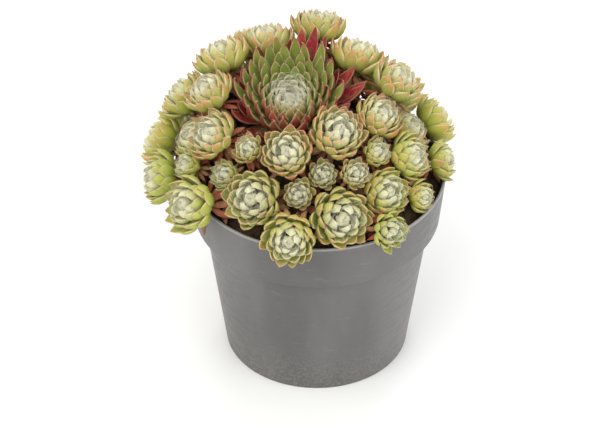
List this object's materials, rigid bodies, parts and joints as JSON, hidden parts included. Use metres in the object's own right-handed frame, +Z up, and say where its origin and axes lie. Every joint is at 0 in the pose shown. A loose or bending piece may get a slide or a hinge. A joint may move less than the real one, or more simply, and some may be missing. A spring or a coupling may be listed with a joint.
{
  "type": "potted hens and chicks",
  "caption": "Rosette succulent in a round nursery pot: a bowl-shaped mother rosette ringed by small globe rosettes that cushion the soil and spill over the rim.",
  "frame": {"origin": "centre of the pot's underside, where it stands", "axes": "+Z up along the pot's axis; -Y is the front, towards which the mother rosette leans"},
  "size_m": [0.1289, 0.1352, 0.1349],
  "materials": {
    "pot_plastic": "grey moulded plastic, satin",
    "soil": "dark compost with grit, matte",
    "hen_leaf": "fleshy leaf, satin, green with crimson backs",
    "chick_leaf": "fleshy leaf, satin, pale green with cream edges and white cobweb"
  },
  "bodies": {
    "root": {"pot": "pot_plastic", "soil": "soil", "hen": "hen_leaf", "chick_01": "chick_leaf", "chick_02": "chick_leaf", "chick_03": "chick_leaf", "chick_04": "chick_leaf", "chick_05": "chick_leaf", "chick_06": "chick_leaf", "chick_07": "chick_leaf", "chick_08": "chick_leaf", "chick_09": "chick_leaf", "chick_10": "chick_leaf", "chick_11": "chick_leaf", "chick_12": "chick_leaf", "chick_13": "chick_leaf", "chick_14": "chick_leaf", "chick_15": "chick_leaf", "chick_16": "chick_leaf", "chick_17": "chick_leaf", "chick_18": "chick_leaf", "chick_19": "chick_leaf", "chick_20": "chick_leaf", "chick_21": "chick_leaf", "chick_22": "chick_leaf", "chick_23": "chick_leaf", "chick_24": "chick_leaf", "chick_25": "chick_leaf", "chick_26": "chick_leaf", "chick_27": "chick_leaf", "chick_28": "chick_leaf", "chick_29": "chick_leaf", "chick_30": "chick_leaf", "chick_31": "chick_leaf", "chick_32": "chick_leaf", "chick_33": "chick_leaf", "chick_34": "chick_leaf", "chick_35": "chick_leaf", "chick_36": "chick_leaf", "chick_37": "chick_leaf", "chick_38": "chick_leaf", "chick_39": "chick_leaf", "chick_40": "chick_leaf", "chick_41": "chick_leaf", "chick_42": "chick_leaf", "chick_43": "chick_leaf", "chick_44": "chick_leaf", "chick_45": "chick_leaf"}
  },
  "joints": []
}
